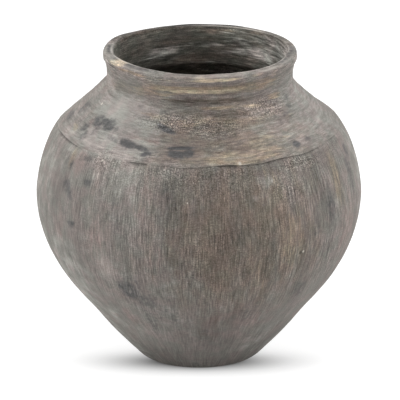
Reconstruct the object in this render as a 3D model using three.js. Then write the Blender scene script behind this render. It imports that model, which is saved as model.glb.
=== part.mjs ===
// A hand-built clay pot: a round-bellied storage jar on a small flat foot, with a sloping
// shoulder, a short collar and a thick rolled lip.
//
// The potter makes it in five sections of clay: a slab for the foot, a wall of coils pared
// smooth outside, a shoulder, a collar and a coil for the lip. Each is luted to the one below
// on a level edge when that has stiffened, and the kiln turns them into one pot. Here every
// section is its own closed solid and meets its neighbours face to face on those level edges.
//
// Lengths are in millimetres. +Z is up, the pot stands on z = 0 and its foot is centred there.

import * as THREE from "three";

// How far each section rises above the one below.
const SLAB_THICKNESS = 12;
const BELLY_RISE = 186; // slab to the widest ring of the body wall
const BODY_SEAM_RISE = 81; // widest ring to the seam under the shoulder
const SHOULDER_RISE = 55;
const COLLAR_RISE = 22;
const LIP_RISE = 12.5;

// Radii of the outside.
const FOOT_RADIUS = 72; // where the line of the wall would meet the ground
const BELLY_RADIUS = 190.4;
const SEAM_RADIUS = 164.4;
const NECK_RADIUS = 108; // crease between shoulder and collar
const COLLAR_TOP_RADIUS = 109.3;
const LIP_RADIUS = 112.3;

// Slope of the outside, in degrees above the horizontal, where its curves join.
const FOOT_SLOPE = 46;
const SHOULDER_SLOPE = 40;
const NECK_SLOPE = 76;

// Lengths of the curve handles: a longer one keeps the outline straighter for longer.
const FOOT_HANDLE = 84;
const BELLY_HANDLE_BELOW = 75;
const BELLY_HANDLE_ABOVE = 22;
const SEAM_HANDLE = 18;
const NECK_HANDLE = 10;

// Wall, measured square to the outside.
const WALL_AT_SLAB = 13;
const WALL = 10;
const LIP_BORE_RADIUS = 101.3;

// Smaller forms left by the hands and tools.
const FOOT_ROUND = 5; // rounded lower edge of the slab
const WAIST_DEPTH = 3.2; // hollow left by paring just above the foot
const WAIST_HEIGHT = 68;
const WAIST_SPREAD = 26.5;
const SEAM_LEDGE = 0.9; // the wall is pared thinner than the shoulder luted on to it
const SEAM_LEDGE_FADE = 45;
const COIL_RISE = 33; // one soft ridge inside for each coil of the wall
const COIL_RIDGE = 0.9;
const SKIRT_DROP = 11; // the collar's clay is pressed this far down inside the shoulder
const SKIRT_FLARE = 52; // degrees from upright, under the edge that this leaves
const NECK_OFFSET = 1.2; // the collar was set a little to one side
const NECK_OFFSET_FADE = 10;
const SHOULDER_OFFSET = -0.9; // and the shoulder a little to the other
const SHOULDER_OFFSET_FADE = 20;
const FOOT_OFFSET = 0.8; // the foot stands a little off the belly's middle
const BORE_OFFSET = 1; // the lip is thicker on the side away from that
const OVAL = 0.8;
const THREE_LOBES = 0.5;
const RIM_WAVE = 0.8; // rise and fall of the lip round the mouth
const RIM_HIGH_POINT = 145; // degrees round from +X

// Fineness of the facets.
const SEGMENTS = 60;
const OUTSIDE_RING = 13;
const INSIDE_RING = 8.5;
const CURVE_STEPS = 40;

const CLAY_BODY = { color: 0x7b736c, roughness: 0.93, metalness: 0 };
const CLAY_SHOULDER = { color: 0x8b837a, roughness: 0.9, metalness: 0 };
const CLAY_COLLAR = { color: 0x80746a, roughness: 0.9, metalness: 0 };
const CLAY_LIP = { color: 0x918a80, roughness: 0.85, metalness: 0 };
const CLAY_SLAB = { color: 0x5f5a56, roughness: 0.95, metalness: 0 };

// Heights of the level edges where one section sits on the next, and of the widest ring.
const slabTop = SLAB_THICKNESS;
const bellyHeight = slabTop + BELLY_RISE;
const seamHeight = bellyHeight + BODY_SEAM_RISE;
const neckHeight = seamHeight + SHOULDER_RISE;
const collarTop = neckHeight + COLLAR_RISE;
const potHeight = collarTop + LIP_RISE;

const { clamp, degToRad, lerp, smoothstep } = THREE.MathUtils;
const point = (radius, height) => new THREE.Vector2(radius, height);
const heading = (degrees) => point(Math.cos(degToRad(degrees)), Math.sin(degToRad(degrees)));

// A cubic stretch of the outline between two points, leaving and arriving on the given headings.
function stretch(from, leaving, leavingHandle, to, arriving, arrivingHandle) {
  return new THREE.CubicBezierCurve(
    from,
    from.clone().addScaledVector(heading(leaving), leavingHandle),
    to.clone().addScaledVector(heading(arriving), -arrivingHandle),
    to,
  );
}

const foot = point(FOOT_RADIUS, 0);
const belly = point(BELLY_RADIUS, bellyHeight);
const seam = point(SEAM_RADIUS, seamHeight);
const neck = point(NECK_RADIUS, neckHeight);
const UPRIGHT = 90;
const LEVEL = 180; // a slope that leans in to the axis is counted from here

// The outside from the ground to the top of the collar, in stretches that rise all the way.
const outline = [
  stretch(foot, FOOT_SLOPE, FOOT_HANDLE, belly, UPRIGHT, BELLY_HANDLE_BELOW),
  stretch(belly, UPRIGHT, BELLY_HANDLE_ABOVE, seam, LEVEL - SHOULDER_SLOPE, SEAM_HANDLE),
  stretch(seam, LEVEL - SHOULDER_SLOPE, SEAM_HANDLE, neck, LEVEL - NECK_SLOPE, NECK_HANDLE),
  new THREE.QuadraticBezierCurve(
    neck,
    point(NECK_RADIUS, neckHeight + COLLAR_RISE / 2),
    point(COLLAR_TOP_RADIUS, collarTop),
  ),
];

function wallAt(height) {
  return lerp(WALL_AT_SLAB, WALL, smoothstep(height, slabTop, bellyHeight));
}

// The same line moved square to itself through the wall, or left where it is.
function traced(throughWall) {
  return outline.flatMap((curve) =>
    Array.from({ length: CURVE_STEPS + 1 }, (_, i) => {
      const here = curve.getPoint(i / CURVE_STEPS);
      const along = curve.getTangent(i / CURVE_STEPS);
      const depth = throughWall ? wallAt(here.y) : 0;
      return point(here.x - along.y * depth, here.y + along.x * depth);
    }),
  );
}

const outsideLine = traced(false);
const insideLine = traced(true);

// Radius of a rising line at a height. Above its last point the line goes straight up.
function radiusAt(line, height) {
  const next = line.findIndex((p) => p.y > height);
  if (next < 0) return line.at(-1).x;
  const above = line[next];
  const below = line[Math.max(next - 1, 0)];
  const share = above.y > below.y ? (height - below.y) / (above.y - below.y) : 0;
  return lerp(below.x, above.x, share);
}

// The outside with the pared hollow above the foot.
function outsideAt(height) {
  const hollow = WAIST_DEPTH * Math.exp(-(((height - WAIST_HEIGHT) / WAIST_SPREAD) ** 2));
  return radiusAt(outsideLine, height) - hollow;
}

// The body wall ends below the seam a little inside the edge of the shoulder.
function paredOutsideAt(height) {
  return outsideAt(height) - SEAM_LEDGE * smoothstep(height, seamHeight - SEAM_LEDGE_FADE, seamHeight);
}

// The inside, with a soft ridge for each coil and the edge of the collar's clay under the neck.
function insideAt(height) {
  const turn = (2 * Math.PI * (height - slabTop)) / COIL_RISE;
  const wall = radiusAt(insideLine, height) - (COIL_RIDGE * (1 - Math.cos(turn))) / 2;
  if (height > neckHeight) return wall;
  const underSkirt = Math.max(0, neckHeight - SKIRT_DROP - height);
  const skirt = radiusAt(insideLine, neckHeight) + underSkirt * Math.tan(degToRad(SKIRT_FLARE));
  return Math.min(wall, skirt);
}

// Heights from one level to another in equal steps of about the size given.
function levels(from, to, step) {
  const count = Math.max(1, Math.round(Math.abs(to - from) / step));
  return Array.from({ length: count + 1 }, (_, i) => lerp(from, to, i / count));
}

// What no wheel or ruler would leave: the section is a little oval, foot, shoulder and collar
// stand a little off one another, and the lip rises and falls and is thicker on the left.
function handShaped(geometry) {
  const positions = geometry.getAttribute("position");
  const p = new THREE.Vector3();
  for (let i = 0; i < positions.count; i++) {
    p.fromBufferAttribute(positions, i);
    const radius = Math.hypot(p.x, p.y);
    const angle = Math.atan2(p.y, p.x);
    const belowBelly = 1 - smoothstep(p.z, BELLY_RISE / 3, bellyHeight);
    const upShoulder = smoothstep(p.z, seamHeight, seamHeight + SHOULDER_OFFSET_FADE);
    const upNeck = smoothstep(p.z, neckHeight - NECK_OFFSET_FADE, neckHeight);
    const setOff = lerp(SHOULDER_OFFSET * upShoulder, NECK_OFFSET, upNeck);
    const thicker = BORE_OFFSET * smoothstep(p.z, seamHeight, neckHeight);
    const upLip = clamp((p.z - collarTop) / LIP_RISE, 0, 1);
    const throughWall = clamp((outsideAt(p.z) - radius) / WALL, 0, 1);
    const swell = OVAL * Math.sin(2 * angle) + THREE_LOBES * Math.sin(3 * angle);
    const round = radius + (swell * radius) / BELLY_RADIUS;
    const fromHigh = angle - degToRad(RIM_HIGH_POINT);
    const wave = Math.cos(fromHigh) + Math.cos(3 * fromHigh) / 2;
    positions.setXYZ(
      i,
      round * Math.cos(angle) + FOOT_OFFSET * belowBelly + setOff + thicker * throughWall,
      round * Math.sin(angle),
      p.z + RIM_WAVE * wave * upLip,
    );
  }
  geometry.computeVertexNormals();
  return geometry;
}

// A section: its closed profile turned round the upright axis, then shaped by hand.
function section(name, profile, clay) {
  const turned = new THREE.LatheGeometry(profile, SEGMENTS);
  turned.rotateX(Math.PI / 2);
  const mesh = new THREE.Mesh(handShaped(turned), new THREE.MeshStandardMaterial(clay));
  mesh.name = name;
  return mesh;
}

// A hollow section between two level edges.
function ring(name, from, to, outside, clay) {
  const rising = levels(from, to, OUTSIDE_RING).map((h) => point(outside(h), h));
  const falling = levels(to, from, INSIDE_RING).map((h) => point(insideAt(h), h));
  return section(name, [...rising, ...falling, rising[0]], clay);
}

// The slab of the foot: flat below and above, its lower edge rounded into the slope of the wall.
function baseSlab() {
  const roundedInto = point(outsideAt(FOOT_ROUND / 2), FOOT_ROUND / 2);
  const edge = new THREE.QuadraticBezierCurve(
    point(outsideAt(0) - FOOT_ROUND, 0),
    point(outsideAt(0), 0),
    roundedInto,
  );
  const side = levels(FOOT_ROUND / 2, slabTop, SLAB_THICKNESS / 3).map((h) => point(outsideAt(h), h));
  const profile = [point(0, 0), ...edge.getPoints(4).slice(0, -1), ...side, point(0, slabTop)];
  return section("base_slab", profile, CLAY_SLAB);
}

// The rolled lip: a coil that bulges outside, flattened on top, with its edge eased inwards.
function rimCoil() {
  const outerFoot = point(radiusAt(outsideLine, collarTop), collarTop);
  const innerFoot = point(insideAt(collarTop), collarTop);
  const bulge = point(LIP_RADIUS, collarTop + LIP_RISE / 2);
  const crown = point((LIP_RADIUS + LIP_BORE_RADIUS) / 2, potHeight);
  const bore = point(LIP_BORE_RADIUS, potHeight - LIP_RISE / 4);
  const outerRoll = new THREE.CubicBezierCurve(
    outerFoot,
    point(outerFoot.x + (LIP_RADIUS - outerFoot.x) / 2, collarTop + LIP_RISE / 8),
    point(LIP_RADIUS, collarTop + LIP_RISE / 4),
    bulge,
  );
  const overTheTop = new THREE.CubicBezierCurve(
    bulge,
    point(LIP_RADIUS, potHeight - LIP_RISE / 8),
    point(crown.x + (LIP_RADIUS - crown.x) / 2, potHeight),
    crown,
  );
  const innerRoll = new THREE.QuadraticBezierCurve(crown, point(LIP_BORE_RADIUS, potHeight), bore);
  const profile = [
    ...outerRoll.getPoints(4).slice(0, -1),
    ...overTheTop.getPoints(5).slice(0, -1),
    ...innerRoll.getPoints(4),
    innerFoot,
    outerFoot,
  ];
  return section("rim_coil", profile, CLAY_LIP);
}

const pot = new THREE.Group();
pot.add(
  baseSlab(),
  ring("body_wall", slabTop, seamHeight, paredOutsideAt, CLAY_BODY),
  ring("shoulder", seamHeight, neckHeight, outsideAt, CLAY_SHOULDER),
  ring("collar", neckHeight, collarTop, outsideAt, CLAY_COLLAR),
  rimCoil(),
);

export default pot;
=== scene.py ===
# The looks of a hand-built clay pot, laid over its imported CAD model.
#
# The pot is five luted sections of one clay: a slab for the foot, a body wall pared upright,
# and a shoulder, a collar and a lip wiped level. One Geometry Nodes tree turns each section's
# profile round the pot's axis and leaves the marks of hands and tools in the clay. One
# procedural clay colours them, and listed dabs carry its smoke, earth and ash, along with
# painted light and shade: highlights on edges, and shade in creases and in the mouth.
#
# Lengths are in millimetres until they reach a mesh, a lamp or the camera. A turn is in
# degrees round the pot, counted from its front and positive to the viewer's right.

import math
from collections import namedtuple

import bpy
import numpy as np
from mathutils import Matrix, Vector

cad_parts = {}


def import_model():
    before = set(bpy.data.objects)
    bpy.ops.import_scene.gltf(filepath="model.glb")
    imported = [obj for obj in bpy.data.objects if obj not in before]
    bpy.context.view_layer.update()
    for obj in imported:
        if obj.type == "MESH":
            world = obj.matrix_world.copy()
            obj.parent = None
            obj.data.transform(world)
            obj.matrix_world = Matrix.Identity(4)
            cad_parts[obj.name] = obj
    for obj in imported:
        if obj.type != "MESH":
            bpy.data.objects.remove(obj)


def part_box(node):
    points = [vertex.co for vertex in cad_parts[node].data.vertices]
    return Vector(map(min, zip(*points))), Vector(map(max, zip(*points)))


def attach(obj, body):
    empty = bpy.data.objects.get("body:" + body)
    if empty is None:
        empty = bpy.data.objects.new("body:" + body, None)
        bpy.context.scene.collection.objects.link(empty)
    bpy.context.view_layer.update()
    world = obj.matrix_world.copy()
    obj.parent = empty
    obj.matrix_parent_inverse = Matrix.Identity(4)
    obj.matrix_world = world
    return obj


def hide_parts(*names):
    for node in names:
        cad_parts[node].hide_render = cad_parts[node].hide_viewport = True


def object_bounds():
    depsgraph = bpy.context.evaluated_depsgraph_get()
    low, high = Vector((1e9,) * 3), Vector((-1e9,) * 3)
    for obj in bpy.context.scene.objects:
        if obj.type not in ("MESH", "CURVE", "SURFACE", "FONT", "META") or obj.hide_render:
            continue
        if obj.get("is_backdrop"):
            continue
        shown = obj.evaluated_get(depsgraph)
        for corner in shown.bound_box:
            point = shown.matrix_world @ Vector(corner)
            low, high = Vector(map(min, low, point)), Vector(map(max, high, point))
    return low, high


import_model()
cad_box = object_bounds()

MM = 0.001

# The outline, as the CAD model has it.
BELLY_RISE = 186
BODY_SEAM_RISE = 81
LIP_RISE = 12.5
FOOT_RADIUS = 72
BELLY_RADIUS = 190.4
SEAM_RADIUS = 164.4
NECK_RADIUS = 108
COLLAR_TOP_RADIUS = 109.3
LIP_RADIUS = 112.3
LIP_BORE_RADIUS = 101.3
FOOT_SLOPE = 46
SHOULDER_SLOPE = 40
NECK_SLOPE = 76
FOOT_HANDLE = 84
BELLY_HANDLE_BELOW = 75
BELLY_HANDLE_ABOVE = 22
SEAM_HANDLE = 18
NECK_HANDLE = 10
WALL_AT_SLAB = 13
WALL = 10
FOOT_ROUND = 5
WAIST_DEPTH = 3.2
WAIST_HEIGHT = 68
WAIST_SPREAD = 26.5
SEAM_LEDGE = 0.9
SEAM_LEDGE_FADE = 45
COIL_RISE = 33
COIL_RIDGE = 0.9
SKIRT_DROP = 11
SKIRT_FLARE = 52
NECK_OFFSET_FADE = 10
SHOULDER_OFFSET_FADE = 20
UPRIGHT = 90
LEVEL = 180

# Points of the lip: how far in from its outside or out from its bore, and how far down.
TOP_EDGE = (3, 0.5)
OUTER_TURN = (0.5, 1)
INNER_EDGE = (1.4, 0.4)
INNER_TURN = (0.2, 0.7)
BORE_TOP = (0, 2.4)

# Over these lengths the lip comes free to be worked every way, and turns into the inside.
FREE_RISE = 3
INSIDE_EASE = 1.2

# Where edges are worn pale, partly as painted highlight, and the groove at the seam: how far each
# reaches, and how strong.
INNER_WEAR_AND_HIGHLIGHT = 1.3
OUTER_WEAR_AND_HIGHLIGHT = 2.2
OUTER_WEAR_AND_HIGHLIGHT_SHARE = 0.5
SEAM_WEAR_AND_HIGHLIGHT_SHARE = 0.3
GROOVE_BELOW = 1.6
GROOVE_ABOVE = 0.8
GROOVE_SHARE_ABOVE = 0.5

# The pot's floor inside, and the part of it near the middle that is free to be uneven.
FLOOR_RADIUS = 60
UNEVEN_RADIUS = 52

# Fineness of the turned meshes: facets round the pot, and steps along a profile.
BODY_SEGMENTS = 1060
WIPED_SEGMENTS = 640
CURVE_STEPS = 160
ROUND_STEPS = 5
BODY_STEP = 4.8
FINE_BELOW_SEAM = 8
SEAM_STEP = 0.8
INSIDE_BODY_STEP = 10
WIPED_STEP = 0.9
INSIDE_STEP = 2.5
SLAB_STEP = 1.2
UNDERSIDE_STEP = 9
FLOOR_STEP = 4
LIP_STEP = 0.7
SLOPE_STEP = 0.2
SHARP_ANGLE = 50
MERGE_DISTANCE = 0.01

# Heights of the level edges between the sections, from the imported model.
slab_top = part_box("base_slab")[1].z / MM
seam_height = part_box("body_wall")[1].z / MM
neck_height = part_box("shoulder")[1].z / MM
collar_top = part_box("collar")[1].z / MM
belly_height = seam_height - BODY_SEAM_RISE
pot_height = collar_top + LIP_RISE


# Noise: how far apart the seeds lie, and the gain that spreads its values from -1 to 1.
SEED_STRIDES = (17.3, 9.1, 5.7)
NOISE_GAIN = 4.0

# Upright marks below these heights are as many as fit round the foot, by its girth here.
FOOT_MARKS_BELOW = (30, 140)
FOOT_MARKS_RADIUS = FOOT_RADIUS * 1.3
FOOT_MARKS_SEED = 40

# The share of a spot's size over which it is full.
SPOT_CORE = 0.4


class Value:
    """A socket of a node tree, so that sums and products of numbers read as such."""

    def __init__(self, tree, socket):
        self.tree = tree
        self.socket = socket

    def __add__(self, other):
        return self.tree.math("ADD", self, other)

    def __sub__(self, other):
        return self.tree.math("SUBTRACT", self, other)

    def __rsub__(self, other):
        return self.tree.math("SUBTRACT", other, self)

    def __mul__(self, other):
        return self.tree.math("MULTIPLY", self, other)

    def __truediv__(self, other):
        return self.tree.math("DIVIDE", self, other)

    __radd__ = __add__
    __rmul__ = __mul__


class Tree:
    """A shader or geometry tree that nodes are added to."""

    def __init__(self, tree):
        self.tree = tree

    def node(self, kind, settings=None, sockets=None, out=0):
        """Adds a node, makes its settings, then fills its sockets with values or links."""
        node = self.tree.nodes.new(kind)
        for name, value in (settings or {}).items():
            setattr(node, name, value)
        for name, value in (sockets or {}).items():
            if isinstance(value, Value):
                self.tree.links.new(value.socket, node.inputs[name])
            else:
                node.inputs[name].default_value = value
        return Value(self, node.outputs[out])

    def math(self, operation, *numbers):
        return self.node("ShaderNodeMath", {"operation": operation}, dict(enumerate(numbers)))

    def vector(self, operation, *vectors, out="Vector"):
        sockets = dict(enumerate(vectors))
        return self.node("ShaderNodeVectorMath", {"operation": operation}, sockets, out)

    def axis(self, place, name):
        return self.node("ShaderNodeSeparateXYZ", None, {0: place}, name)

    def xyz(self, *numbers):
        return self.node("ShaderNodeCombineXYZ", None, dict(enumerate(numbers)))

    def feed(self, node, socket, value):
        self.tree.links.new(value.socket, node.inputs[socket])

    def smooth(self, number, low, high, to_low=0.0, to_high=1.0):
        """Eases a number from one value to another while it goes from low to high."""
        sockets = dict(enumerate((number, low, high, to_low, to_high)))
        return self.node("ShaderNodeMapRange", {"interpolation_type": "SMOOTHSTEP"}, sockets)

    def blend(self, share, first, second):
        """Mixes two colours."""
        settings = {"data_type": "RGBA"}
        return self.node("ShaderNodeMix", settings, {0: share, 6: first, 7: second}, out=2)

    def shade(self, colour, factor):
        """Makes a colour lighter or darker by a factor."""
        return self.vector("MULTIPLY", colour, self.xyz(factor, factor, factor))

    def noise(self, place, seed, detail=2.0, roughness=0.5):
        """Cloudy noise about 0 that mostly stays between -1 and 1."""
        moved = self.vector("ADD", place, tuple(seed * stride for stride in SEED_STRIDES))
        sockets = {"Vector": moved, "Scale": 1.0, "Detail": detail, "Roughness": roughness}
        return (self.node("ShaderNodeTexNoise", None, sockets) - 0.5) * NOISE_GAIN

    def stirred(self, place, size, swing, seed):
        """The place moved about by soft noise, so that straight marks waver."""
        spread = self.vector("MULTIPLY", place, (1 / size,) * 3)
        moved = self.vector("ADD", spread, (seed * SEED_STRIDES[0],) * 3)
        sockets = {"Vector": moved, "Scale": 1.0, "Detail": 1.0}
        cloud = self.node("ShaderNodeTexNoise", None, sockets, out="Color")
        centred = self.vector("SUBTRACT", cloud, (0.5,) * 3)
        return self.vector("ADD", place, self.vector("MULTIPLY", centred, (swing,) * 3))

    def on_ring(self, place, radius=1):
        """The place moved level on to a ring round the pot's axis, at height 0."""
        flat = self.vector("NORMALIZE", self.vector("MULTIPLY", place, (1, 1, 0)))
        return self.vector("MULTIPLY", flat, (radius, radius, 0))

    def streaks(self, place, girth, reach, seed, **noise):
        """Noise in upright streaks that narrow with the pot, given its girth in streaks."""
        round_pot = self.on_ring(place, girth)
        up = self.vector("MULTIPLY", place, (0, 0, 1 / reach))
        return self.noise(self.vector("ADD", round_pot, up), seed, **noise)

    def upright_marks(self, place, pitch, reach, seed, **noise):
        """Upright streaks about as wide as the pitch, fewer round the foot than round the belly."""
        at_belly = self.streaks(place, BELLY_RADIUS / pitch, reach, seed, **noise)
        foot_seed = seed + FOOT_MARKS_SEED
        at_foot = self.streaks(place, FOOT_MARKS_RADIUS / pitch, reach, foot_seed, **noise)
        low = self.smooth(self.axis(place, "Z"), *FOOT_MARKS_BELOW, 1.0, 0.0)
        return at_belly + (at_foot - at_belly) * low

    def level_marks(self, place, pitch, reach, seed, **noise):
        """Noise in level streaks that run round the pot, as high as the pitch."""
        squeezed = self.vector("MULTIPLY", place, (1 / reach, 1 / reach, 1 / pitch))
        return self.noise(squeezed, seed, **noise)

    def mottle(self, place, size, seed, **noise):
        """Noise of one size every way."""
        return self.noise(self.vector("MULTIPLY", place, (1 / size,) * 3), seed, **noise)

    def spot(self, place, turn, height, radius, size):
        """1 at a point of the wall, easing to 0 at the size given."""
        angle = math.radians(turn)
        middle = (radius * math.sin(angle), -radius * math.cos(angle), height)
        up = self.vector("MULTIPLY", place, (0, 0, 1))
        here = self.vector("ADD", self.on_ring(place, radius), up)
        away = self.vector("DISTANCE", here, middle, out="Value")
        return self.smooth(away, size * SPOT_CORE, size, 1.0, 0.0)

    def lobe(self, place, turn, spread):
        """1 at a turn round the pot, easing to 0 at the spread to either side."""
        toward = (math.sin(math.radians(turn)), -math.cos(math.radians(turn)), 0)
        facing = self.vector("DOT_PRODUCT", self.on_ring(place), toward, out="Value")
        return self.smooth(facing, math.cos(math.radians(spread)), 1.0)


# The relief that hands and tools left, as functions that both the shape and the finish use.
# The depths that they multiply by are millimetres.


def pared_relief(tree, place):
    """Upright strokes of a serrated scraper over the broader flats that it left."""
    flats = tree.upright_marks(place, pitch=11, reach=120, seed=1, detail=1.0)
    comb = tree.upright_marks(place, pitch=2.2, reach=22, seed=2, detail=1.0)
    return flats * 0.22 + comb * 0.1


def wiped_relief(tree, place):
    """Level ridges left by a wet hand."""
    bands = tree.level_marks(place, pitch=6.5, reach=110, seed=3, detail=1.0)
    ridges = tree.level_marks(place, pitch=1.9, reach=34, seed=4, detail=1.0)
    return bands * 0.22 + ridges * 0.09


def lumps(tree, place):
    """Soft lumps that pressing and beating left."""
    return tree.mottle(place, size=42, seed=5, detail=1.0) * 0.35


# Where the seam between body and shoulder stands open: turn, spread and how far.
SEAM_GAPS = [(38, 26, 0.9), (-68, 17, 1.0), (-24.5, 5, 1.6), (11.5, 6, 1.4)]


def seam_opening(tree, place):
    """How far the seam between body and shoulder stands open: mostly shut, and ragged."""
    gaps = tree.upright_marks(place, pitch=7, reach=60, seed=6) * 0.2
    for turn, spread, far in SEAM_GAPS:
        gaps = gaps + tree.lobe(place, turn, spread) * far
    return tree.math("MAXIMUM", gaps, 0.0)


# The profiles that the tree turns.


def smoothstep(value, low, high):
    share = np.clip((value - low) / (high - low), 0, 1)
    return share * share * (3 - 2 * share)


def heading(degrees):
    return np.array([math.cos(math.radians(degrees)), math.sin(math.radians(degrees))])


def bezier(*corners, steps=CURVE_STEPS):
    """Points along the curve that the corners pull."""
    share = np.linspace(0, 1, steps + 1)[:, None]
    order = len(corners) - 1
    terms = [
        math.comb(order, k) * share**k * (1 - share) ** (order - k) * np.array(corner, float)
        for k, corner in enumerate(corners)
    ]
    return sum(terms)


def stretch(start, leaving, leaving_handle, end, arriving, arriving_handle):
    """A stretch of the outline between two points, on the headings given."""
    start, end = np.array(start, float), np.array(end, float)
    out = start + heading(leaving) * leaving_handle
    into = end - heading(arriving) * arriving_handle
    return bezier(start, out, into, end)


def wall_at(height):
    share = smoothstep(height, slab_top, belly_height)
    return WALL_AT_SLAB + (WALL - WALL_AT_SLAB) * share


def through_wall(line):
    """The line moved square to itself to the inside of the wall."""
    along = np.gradient(line, axis=0)
    along /= np.linalg.norm(along, axis=1, keepdims=True)
    inward = np.stack([-along[:, 1], along[:, 0]], axis=1)
    return line + inward * wall_at(line[:, 1])[:, None]


foot = (FOOT_RADIUS, 0)
belly = (BELLY_RADIUS, belly_height)
seam = (SEAM_RADIUS, seam_height)
neck = (NECK_RADIUS, neck_height)
shoulder_heading = LEVEL - SHOULDER_SLOPE
outline = [
    stretch(foot, FOOT_SLOPE, FOOT_HANDLE, belly, UPRIGHT, BELLY_HANDLE_BELOW),
    stretch(belly, UPRIGHT, BELLY_HANDLE_ABOVE, seam, shoulder_heading, SEAM_HANDLE),
    stretch(seam, shoulder_heading, SEAM_HANDLE, neck, LEVEL - NECK_SLOPE, NECK_HANDLE),
    bezier(
        neck,
        (NECK_RADIUS, (neck_height + collar_top) / 2),
        (COLLAR_TOP_RADIUS, collar_top),
    ),
]
outside_line = np.concatenate(outline)
inside_line = np.concatenate([through_wall(line) for line in outline])


def radius_at(line, height):
    return np.interp(height, line[:, 1], line[:, 0])


def outside_at(height):
    hollow = WAIST_DEPTH * np.exp(-(((height - WAIST_HEIGHT) / WAIST_SPREAD) ** 2))
    return radius_at(outside_line, height) - hollow


def pared_outside_at(height):
    ledge = SEAM_LEDGE * smoothstep(height, seam_height - SEAM_LEDGE_FADE, seam_height)
    return outside_at(height) - ledge


def inside_at(height):
    turn = 2 * np.pi * (height - slab_top) / COIL_RISE
    wall = radius_at(inside_line, height) - COIL_RIDGE * (1 - np.cos(turn)) / 2
    under_skirt = np.maximum(0, neck_height - SKIRT_DROP - height)
    flare = math.tan(math.radians(SKIRT_FLARE))
    skirt = radius_at(inside_line, neck_height) + under_skirt * flare
    return np.where(height > neck_height, wall, np.minimum(wall, skirt))


def levels(start, end, step):
    """Heights from one level to another in equal steps of about the size given."""
    count = max(1, round(abs(end - start) / step))
    return np.linspace(start, end, count + 1)


# One point of a profile: where it is, which way worked clay moves there, and how far it lies
# inside the pot, in the groove at the seam and on an edge that wears pale, partly as painted
# highlight.
POINT_FIELDS = ("off_axis", "height", "push_r", "push_z", "inside", "seam_groove", "worn_and_highlit")


def profile_points(radius, height, push_r, push_z, inside, seam_groove=0.0, worn_and_highlit=0.0):
    given = (radius, height, push_r, push_z, inside, seam_groove, worn_and_highlit)
    return np.stack(np.broadcast_arrays(*[np.asarray(v, float) for v in given]), axis=1)


def wall_face(radius_of, heights, inside, seam_groove=0.0, worn_and_highlit=0.0):
    """Points on one face of the wall. They only move level, so the edges of sections stay level."""
    rise = 2 * SLOPE_STEP
    slope = (radius_of(heights + SLOPE_STEP) - radius_of(heights - SLOPE_STEP)) / rise
    push = np.sqrt(1 + slope**2) * (-1 if inside else 1)
    return profile_points(radius_of(heights), heights, push, 0, inside, seam_groove, worn_and_highlit)


def body_profile():
    low = levels(slab_top, seam_height - FINE_BELOW_SEAM, BODY_STEP)
    high = levels(seam_height - FINE_BELOW_SEAM, seam_height, SEAM_STEP)
    rising = np.concatenate([low, high[1:]])
    groove = np.exp(-(seam_height - rising) / GROOVE_BELOW)
    outer = wall_face(pared_outside_at, rising, 0, seam_groove=groove)
    inner = wall_face(inside_at, levels(seam_height, slab_top, INSIDE_BODY_STEP), 1)
    return np.concatenate([outer, inner])


def shoulder_profile():
    rising = levels(seam_height, neck_height, WIPED_STEP * math.sin(math.radians(SHOULDER_SLOPE)))
    edge = np.exp(-(rising - seam_height) / GROOVE_ABOVE)
    groove = edge * GROOVE_SHARE_ABOVE
    outer = wall_face(outside_at, rising, 0, seam_groove=groove, worn_and_highlit=edge * SEAM_WEAR_AND_HIGHLIGHT_SHARE)
    inner = wall_face(inside_at, levels(neck_height, seam_height, INSIDE_STEP), 1)
    return np.concatenate([outer, inner])


def collar_profile():
    outer = wall_face(outside_at, levels(neck_height, collar_top, WIPED_STEP), 0)
    inner = wall_face(inside_at, levels(collar_top, neck_height, WIPED_STEP), 1)
    return np.concatenate([outer, inner])


def evenly(line, step):
    """The same line with points at equal steps along it."""
    run = np.concatenate([[0], np.cumsum(np.linalg.norm(np.diff(line, axis=0), axis=1))])
    places = np.linspace(0, run[-1], max(2, round(run[-1] / step)) + 1)
    return np.stack([np.interp(places, run, line[:, k]) for k in (0, 1)], axis=1)


def outward(line):
    """Directions square to a line that runs with the clay on its left."""
    along = np.gradient(line, axis=0)
    along /= np.linalg.norm(along, axis=1, keepdims=True)
    return np.stack([along[:, 1], -along[:, 0]], axis=1)


def lip_profile():
    """A thick lip with a flat top, a rounded outer edge and a crisp inner one."""
    outer_foot = (float(outside_at(collar_top)), collar_top)
    inner_foot = (float(inside_at(collar_top)), collar_top)
    bulge = (LIP_RADIUS, collar_top + LIP_RISE / 2)
    above_bulge = (LIP_RADIUS, pot_height - LIP_RISE / 6)
    outer_turn, top_edge = [(LIP_RADIUS - x, pot_height - z) for x, z in (OUTER_TURN, TOP_EDGE)]
    crown = ((LIP_RADIUS + LIP_BORE_RADIUS) / 2, pot_height)
    inner_edge, inner_turn, bore = [
        (LIP_BORE_RADIUS + x, pot_height - z) for x, z in (INNER_EDGE, INNER_TURN, BORE_TOP)
    ]
    stretches = [
        bezier(outer_foot, (LIP_RADIUS, collar_top + LIP_RISE / 4), bulge),
        bezier(bulge, above_bulge, outer_turn, top_edge),
        bezier(top_edge, ((top_edge[0] + crown[0]) / 2, pot_height), crown),
        bezier(crown, ((crown[0] + inner_edge[0]) / 2, pot_height), inner_edge),
        bezier(inner_edge, inner_turn, bore),
        bezier(bore, inner_foot),
    ]
    line = evenly(np.concatenate(stretches), LIP_STEP)
    square = outward(line)
    free = smoothstep(line[:, 1], collar_top, collar_top + FREE_RISE)
    level = np.sign(square[:, 0])
    push_r = level + (square[:, 0] - level) * free
    inside = smoothstep(-line[:, 0], -LIP_BORE_RADIUS - INSIDE_EASE, -LIP_BORE_RADIUS)

    def close_to(edge, reach):
        return np.exp(-((np.hypot(*(line - edge).T) / reach) ** 2))

    worn_and_highlit = close_to(inner_edge, INNER_WEAR_AND_HIGHLIGHT) + OUTER_WEAR_AND_HIGHLIGHT_SHARE * close_to(top_edge, OUTER_WEAR_AND_HIGHLIGHT)
    return profile_points(line[:, 0], line[:, 1], push_r, square[:, 1] * free, inside, 0, worn_and_highlit)


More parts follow.
